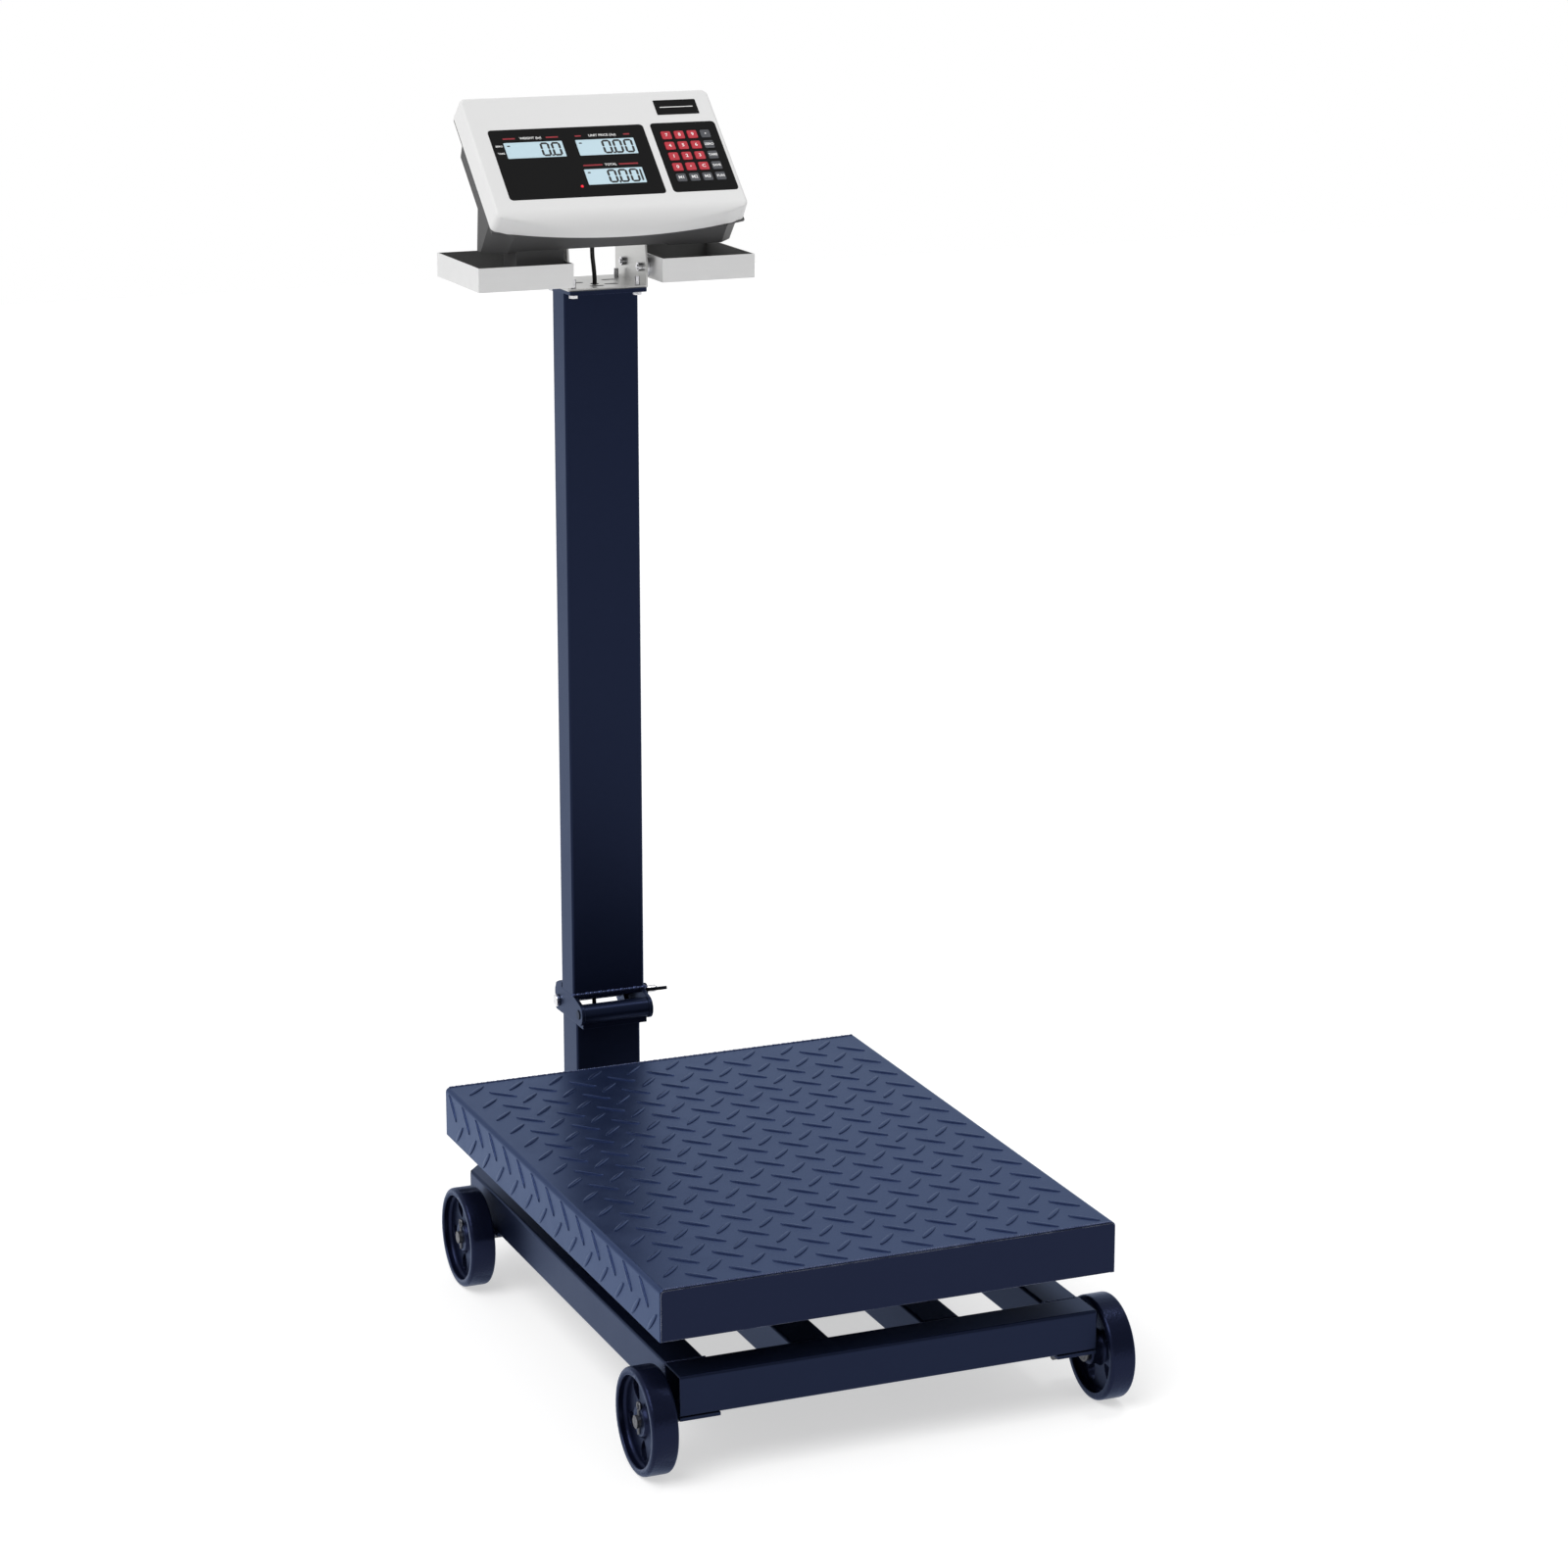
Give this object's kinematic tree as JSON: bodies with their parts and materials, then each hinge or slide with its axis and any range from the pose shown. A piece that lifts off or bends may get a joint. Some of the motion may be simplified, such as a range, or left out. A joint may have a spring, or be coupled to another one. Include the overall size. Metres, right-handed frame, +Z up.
{
  "type": "pallet scale",
  "caption": "Wheeled platform bench scale with a tread-plate deck, a folding column with side trays and a tilting price-computing head with keys.",
  "frame": {"origin": "on the floor, under the middle of the whole scale's bounding box", "axes": "+Z up, -Y the front of the platform, +X to the right when the display is read"},
  "size_m": [0.476, 0.8299, 1.1455],
  "materials": {
    "navy_paint": "satin powder coat",
    "wheel_paint": "semi-gloss paint over rough casting",
    "tread_paint": "semi-gloss paint on tread plate",
    "zinc_steel": "dull zinc plate",
    "bright_chrome": "polished",
    "dark_iron": "painted casting",
    "stainless": "brushed stainless",
    "cell_aluminium": "machined",
    "black_rubber": "matte",
    "cable_black": "smooth jacket",
    "black_plastic": "fine texture",
    "light_plastic": "fine moulded texture",
    "grey_plastic": "fine moulded texture",
    "panel_black": "satin overlay",
    "lcd_glass": "backlit liquid crystal",
    "key_red": "satin",
    "key_grey": "satin",
    "board_green": "solder mask"
  },
  "bodies": {
    "base": {"cross_beams": "navy_paint", "long_rails": "navy_paint", "rear_struts": "navy_paint", "axle_brackets": "navy_paint", "axles": "zinc_steel", "axle_retainers": "zinc_steel", "lower_post": "navy_paint", "load_cell": "cell_aluminium", "cell_plates": "zinc_steel", "cell_screws": "zinc_steel", "spider_frame": "navy_paint", "rubber_pads": "black_rubber", "base_cable": "cable_black"},
    "front_left_wheel": {"wheel_front_left": "wheel_paint"},
    "front_right_wheel": {"wheel_front_right": "wheel_paint"},
    "rear_left_wheel": {"wheel_rear_left": "wheel_paint"},
    "rear_right_wheel": {"wheel_rear_right": "wheel_paint"},
    "cover": {"platform_cover": "tread_paint"},
    "mast": {"upper_post": "navy_paint", "ear_plates": "navy_paint", "pivot_pin": "dark_iron", "latch_bolt": "bright_chrome", "cap_plate": "navy_paint", "head_bracket": "stainless", "trays": "stainless", "bracket_screws": "bright_chrome", "mast_cable": "cable_black", "hinge_cable": "cable_black"},
    "latch_nut": {"wing_nut": "dark_iron"},
    "left_knob": {"tilt_knob_left": "black_plastic"},
    "right_knob": {"tilt_knob_right": "black_plastic"},
    "head": {"front_shell": "light_plastic", "rear_shell": "grey_plastic", "display_panel": "panel_black", "lcd_modules": "lcd_glass", "keypad_panel": "panel_black", "circuit_board": "board_green", "battery_pack": "black_plastic", "shell_screws": "zinc_steel", "head_cable": "cable_black"},
    "body_key_7": {"key_7": "key_red"},
    "body_key_8": {"key_8": "key_red"},
    "body_key_9": {"key_9": "key_red"},
    "body_key_clear": {"key_clear": "key_grey"},
    "body_key_4": {"key_4": "key_red"},
    "body_key_5": {"key_5": "key_red"},
    "body_key_6": {"key_6": "key_red"},
    "body_key_zero_set": {"key_zero_set": "key_grey"},
    "body_key_1": {"key_1": "key_red"},
    "body_key_2": {"key_2": "key_red"},
    "body_key_3": {"key_3": "key_red"},
    "body_key_tare": {"key_tare": "key_grey"},
    "body_key_0": {"key_0": "key_red"},
    "body_key_point": {"key_point": "key_red"},
    "body_key_c": {"key_c": "key_red"},
    "body_key_save": {"key_save": "key_grey"},
    "body_key_m1": {"key_m1": "key_grey"},
    "body_key_m2": {"key_m2": "key_grey"},
    "body_key_m3": {"key_m3": "key_grey"},
    "body_key_add": {"key_add": "key_grey"}
  },
  "joints": [
    {"name": "front_left_wheel_spin", "type": "hinge", "parent": "base", "child": "front_left_wheel", "pos_m": [-0.225, -0.36545, 0.0495], "axis": [1, 0, 0], "continuous": true},
    {"name": "front_right_wheel_spin", "type": "hinge", "parent": "base", "child": "front_right_wheel", "pos_m": [0.225, -0.36545, 0.0495], "axis": [1, 0, 0], "continuous": true},
    {"name": "rear_left_wheel_spin", "type": "hinge", "parent": "base", "child": "rear_left_wheel", "pos_m": [-0.225, 0.13355, 0.0495], "axis": [1, 0, 0], "continuous": true},
    {"name": "rear_right_wheel_spin", "type": "hinge", "parent": "base", "child": "rear_right_wheel", "pos_m": [0.225, 0.13355, 0.0495], "axis": [1, 0, 0], "continuous": true},
    {"name": "platform_lift", "type": "slide", "parent": "base", "child": "cover", "axis": [0, 0, 1], "range_m": [0, 0.02]},
    {"name": "column_fold", "type": "hinge", "parent": "base", "child": "mast", "pos_m": [0, 0.31955, 0.202], "axis": [1, 0, 0], "range_deg": [0, 90], "deforming": ["hinge_cable"]},
    {"name": "wing_nut_turn", "type": "hinge", "parent": "mast", "child": "latch_nut", "pos_m": [0.049, 0.38155, 0.2002], "axis": [1, 0, 0], "continuous": true},
    {"name": "left_knob_turn", "type": "hinge", "parent": "mast", "child": "left_knob", "pos_m": [-0.049, 0.33455, 1.016], "axis": [1, 0, 0], "continuous": true},
    {"name": "right_knob_turn", "type": "hinge", "parent": "mast", "child": "right_knob", "pos_m": [0.049, 0.33455, 1.016], "axis": [1, 0, 0], "continuous": true},
    {"name": "head_tilt", "type": "hinge", "parent": "mast", "child": "head", "pos_m": [0, 0.33455, 1.016], "axis": [1, 0, 0], "range_deg": [-20, 8], "deforming": ["head_cable"]},
    {"name": "key_7_press", "type": "slide", "parent": "head", "child": "body_key_7", "axis": [0, 0.6691, -0.7431], "range_m": [0, 0.0006], "stiffness_N_per_m": 800, "springref_m": -0.0004},
    {"name": "key_8_press", "type": "slide", "parent": "head", "child": "body_key_8", "axis": [0, 0.6691, -0.7431], "range_m": [0, 0.0006], "stiffness_N_per_m": 800, "springref_m": -0.0004},
    {"name": "key_9_press", "type": "slide", "parent": "head", "child": "body_key_9", "axis": [0, 0.6691, -0.7431], "range_m": [0, 0.0006], "stiffness_N_per_m": 800, "springref_m": -0.0004},
    {"name": "key_clear_press", "type": "slide", "parent": "head", "child": "body_key_clear", "axis": [0, 0.6691, -0.7431], "range_m": [0, 0.0006], "stiffness_N_per_m": 800, "springref_m": -0.0004},
    {"name": "key_4_press", "type": "slide", "parent": "head", "child": "body_key_4", "axis": [0, 0.6691, -0.7431], "range_m": [0, 0.0006], "stiffness_N_per_m": 800, "springref_m": -0.0004},
    {"name": "key_5_press", "type": "slide", "parent": "head", "child": "body_key_5", "axis": [0, 0.6691, -0.7431], "range_m": [0, 0.0006], "stiffness_N_per_m": 800, "springref_m": -0.0004},
    {"name": "key_6_press", "type": "slide", "parent": "head", "child": "body_key_6", "axis": [0, 0.6691, -0.7431], "range_m": [0, 0.0006], "stiffness_N_per_m": 800, "springref_m": -0.0004},
    {"name": "key_zero_set_press", "type": "slide", "parent": "head", "child": "body_key_zero_set", "axis": [0, 0.6691, -0.7431], "range_m": [0, 0.0006], "stiffness_N_per_m": 800, "springref_m": -0.0004},
    {"name": "key_1_press", "type": "slide", "parent": "head", "child": "body_key_1", "axis": [0, 0.6691, -0.7431], "range_m": [0, 0.0006], "stiffness_N_per_m": 800, "springref_m": -0.0004},
    {"name": "key_2_press", "type": "slide", "parent": "head", "child": "body_key_2", "axis": [0, 0.6691, -0.7431], "range_m": [0, 0.0006], "stiffness_N_per_m": 800, "springref_m": -0.0004},
    {"name": "key_3_press", "type": "slide", "parent": "head", "child": "body_key_3", "axis": [0, 0.6691, -0.7431], "range_m": [0, 0.0006], "stiffness_N_per_m": 800, "springref_m": -0.0004},
    {"name": "key_tare_press", "type": "slide", "parent": "head", "child": "body_key_tare", "axis": [0, 0.6691, -0.7431], "range_m": [0, 0.0006], "stiffness_N_per_m": 800, "springref_m": -0.0004},
    {"name": "key_0_press", "type": "slide", "parent": "head", "child": "body_key_0", "axis": [0, 0.6691, -0.7431], "range_m": [0, 0.0006], "stiffness_N_per_m": 800, "springref_m": -0.0004},
    {"name": "key_point_press", "type": "slide", "parent": "head", "child": "body_key_point", "axis": [0, 0.6691, -0.7431], "range_m": [0, 0.0006], "stiffness_N_per_m": 800, "springref_m": -0.0004},
    {"name": "key_c_press", "type": "slide", "parent": "head", "child": "body_key_c", "axis": [0, 0.6691, -0.7431], "range_m": [0, 0.0006], "stiffness_N_per_m": 800, "springref_m": -0.0004},
    {"name": "key_save_press", "type": "slide", "parent": "head", "child": "body_key_save", "axis": [0, 0.6691, -0.7431], "range_m": [0, 0.0006], "stiffness_N_per_m": 800, "springref_m": -0.0004},
    {"name": "key_m1_press", "type": "slide", "parent": "head", "child": "body_key_m1", "axis": [0, 0.6691, -0.7431], "range_m": [0, 0.0006], "stiffness_N_per_m": 800, "springref_m": -0.0004},
    {"name": "key_m2_press", "type": "slide", "parent": "head", "child": "body_key_m2", "axis": [0, 0.6691, -0.7431], "range_m": [0, 0.0006], "stiffness_N_per_m": 800, "springref_m": -0.0004},
    {"name": "key_m3_press", "type": "slide", "parent": "head", "child": "body_key_m3", "axis": [0, 0.6691, -0.7431], "range_m": [0, 0.0006], "stiffness_N_per_m": 800, "springref_m": -0.0004},
    {"name": "key_add_press", "type": "slide", "parent": "head", "child": "body_key_add", "axis": [0, 0.6691, -0.7431], "range_m": [0, 0.0006], "stiffness_N_per_m": 800, "springref_m": -0.0004}
  ]
}
